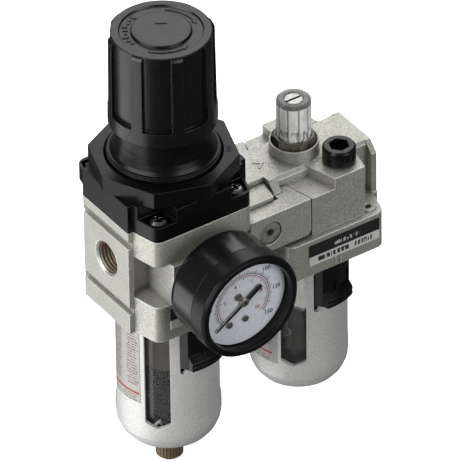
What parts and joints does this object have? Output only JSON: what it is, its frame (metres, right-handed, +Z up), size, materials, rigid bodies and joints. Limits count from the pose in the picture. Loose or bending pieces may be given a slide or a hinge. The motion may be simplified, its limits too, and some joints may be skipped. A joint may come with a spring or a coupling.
{
  "type": "air filter-regulator with lubricator",
  "caption": "Modular compressed-air preparation set: knob-adjusted pressure regulator with filter bowl and dial gauge, clamped to an oil-mist lubricator with sight dome.",
  "frame": {"origin": "centre of the inlet port's mouth on the regulator's port plate", "axes": "+X along the air flow from inlet to outlet, +Z up towards the knob, gauge faces -Y"},
  "size_m": [0.1149, 0.085, 0.1983],
  "materials": {
    "cast_alloy": "satin, fine-grained die cast",
    "black_plastic": "satin",
    "steel": "bright",
    "brass": "satin",
    "rubber": "matte",
    "guard_metal": "satin grey",
    "clear_plastic": "clear",
    "smoke_plastic": "smoky",
    "gauge_case": "satin black",
    "dial_white": "matte white with printed scale",
    "pointer_black": "matte",
    "lens": "clear",
    "filter_medium": "porous sintered",
    "label": "printed",
    "sticker": "printed foil",
    "drain_tan": "satin",
    "white_plastic": "satin"
  },
  "bodies": {
    "housing": {"regulator_body": "cast_alloy", "bonnet": "black_plastic", "bonnet_screws": "steel", "panel_nut": "black_plastic", "main_spring": "steel", "diaphragm": "rubber", "valve_spring": "steel", "valve_guide": "white_plastic", "deflector": "white_plastic", "filter_element": "filter_medium", "baffle": "white_plastic", "filter_bowl_seal": "rubber", "regulator_label": "label", "gauge_case": "gauge_case", "gauge_bezel": "gauge_case", "gauge_lens": "lens", "gauge_dial": "dial_white", "gauge_socket": "brass", "bourdon_tube": "brass", "dial_screws": "steel", "spacer": "cast_alloy", "spacer_seals": "rubber", "front_clamp": "cast_alloy", "rear_clamp": "cast_alloy", "clamp_screws": "steel", "lubricator_body": "cast_alloy", "dome_seat": "smoke_plastic", "sight_dome": "clear_plastic", "dome_seal": "rubber", "drip_tube": "brass", "fill_plug_seal": "rubber", "flow_damper": "rubber", "check_ball": "steel", "siphon_tube": "white_plastic", "siphon_filter": "filter_medium", "lubricator_bowl_seal": "rubber", "lubricator_label": "label"},
    "screw_shaft": {"adjusting_screw": "steel"},
    "knob": {"knob": "black_plastic"},
    "spring_nut": {"spring_nut": "brass"},
    "valve": {"diaphragm_plate": "brass", "valve_poppet": "brass"},
    "pointer": {"gauge_pointer": "pointer_black"},
    "filter_bowl_group": {"filter_bowl": "clear_plastic", "filter_bowl_guard": "guard_metal", "filter_sticker": "sticker", "filter_button_spring": "steel"},
    "filter_button": {"filter_lock_button": "black_plastic"},
    "drain": {"drain_cock": "drain_tan", "drain_seal": "rubber"},
    "lubricator_bowl_group": {"lubricator_bowl": "clear_plastic", "lubricator_bowl_guard": "guard_metal", "lubricator_sticker": "sticker", "lubricator_button_spring": "steel"},
    "lubricator_button": {"lubricator_lock_button": "black_plastic"},
    "drip_screw": {"drip_adjust_screw": "clear_plastic"},
    "plug": {"oil_fill_plug": "black_plastic"}
  },
  "joints": [
    {"name": "knob_turn", "type": "hinge", "parent": "housing", "child": "screw_shaft", "pos_m": [0.0265, 0, 0.08], "axis": [0, 0, 1], "range_deg": [-2160, 0]},
    {"name": "knob_lift", "type": "slide", "parent": "screw_shaft", "child": "knob", "axis": [0, 0, 1], "range_m": [0, 0.003]},
    {"name": "spring_nut_travel", "type": "slide", "parent": "housing", "child": "spring_nut", "axis": [0, 0, 1], "range_m": [-0.009, 0], "deforming": ["main_spring"]},
    {"name": "valve_travel", "type": "slide", "parent": "housing", "child": "valve", "axis": [0, 0, -1], "range_m": [0, 0.0012], "stiffness_N_per_m": 500, "springref_m": -0.002, "deforming": ["valve_spring", "diaphragm"]},
    {"name": "pointer_turn", "type": "hinge", "parent": "housing", "child": "pointer", "pos_m": [0.0265, -0.05, 0.0003], "axis": [0, 1, 0], "range_deg": [0, 270], "stiffness_Nm_per_rad": 0.000002},
    {"name": "filter_bowl_turn", "type": "hinge", "parent": "housing", "child": "filter_bowl_group", "pos_m": [0.0265, 0, -0.05], "axis": [0, 0, 1], "range_deg": [0, 45]},
    {"name": "filter_button_slide", "type": "slide", "parent": "filter_bowl_group", "child": "filter_button", "axis": [0, 0, -1], "range_m": [0, 0.0035], "stiffness_N_per_m": 300, "springref_m": -0.001, "deforming": ["filter_button_spring"]},
    {"name": "drain_turn", "type": "hinge", "parent": "filter_bowl_group", "child": "drain", "pos_m": [0.0265, 0, -0.095], "axis": [0, 0, 1], "range_deg": [0, 180]},
    {"name": "lubricator_bowl_turn", "type": "hinge", "parent": "housing", "child": "lubricator_bowl_group", "pos_m": [0.0865, 0, -0.05], "axis": [0, 0, 1], "range_deg": [0, 45]},
    {"name": "lubricator_button_slide", "type": "slide", "parent": "lubricator_bowl_group", "child": "lubricator_button", "axis": [0, 0, -1], "range_m": [0, 0.0035], "stiffness_N_per_m": 300, "springref_m": -0.001, "deforming": ["lubricator_button_spring"]},
    {"name": "drip_screw_turn", "type": "hinge", "parent": "housing", "child": "drip_screw", "pos_m": [0.0853, 0, 0.035], "axis": [0, 0, 1], "range_deg": [0, 720]},
    {"name": "plug_turn", "type": "hinge", "parent": "housing", "child": "plug", "pos_m": [0.0955, -0.015, 0.018], "axis": [0, 0, 1], "range_deg": [0, 1080]}
  ],
  "couplings": [
    {"joint": "spring_nut_travel", "follows": "knob_turn", "m_per_rad": 0.00023873}
  ]
}
